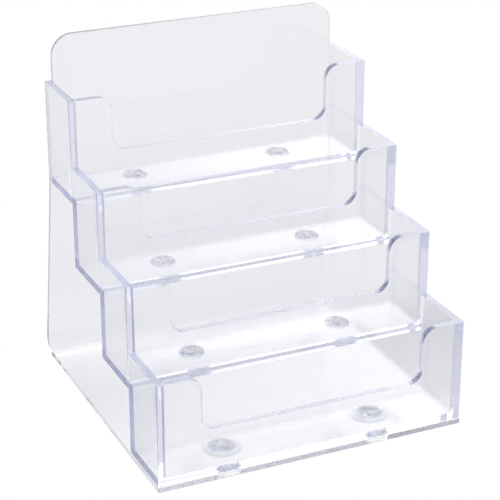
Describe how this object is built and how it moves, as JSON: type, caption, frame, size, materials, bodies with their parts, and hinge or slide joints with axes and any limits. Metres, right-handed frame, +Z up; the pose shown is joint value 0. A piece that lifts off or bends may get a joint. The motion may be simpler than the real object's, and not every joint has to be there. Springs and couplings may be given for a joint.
{
  "type": "tiered business card holder",
  "caption": "Clear plastic countertop card holder: open-front pockets rise in steps on a bent sheet that forms the backrest, slanted rear leg and base.",
  "frame": {"origin": "on the table, under the middle of the holder's overall box", "axes": "+Z up, the front with the cut-outs faces -Y, X runs across the cards"},
  "size_m": [0.1, 0.1006, 0.1122],
  "materials": {
    "clear_plastic": "clear, polished",
    "clear_sheet": "clear, polished",
    "clear_cement": "clear, polished"
  },
  "bodies": {
    "root": {"tray_front": "clear_plastic", "tray_third": "clear_plastic", "tray_second": "clear_plastic", "tray_top": "clear_plastic", "back_and_base_sheet": "clear_sheet", "bond_ring_left": "clear_cement", "bond_ring_right": "clear_cement"}
  },
  "joints": []
}
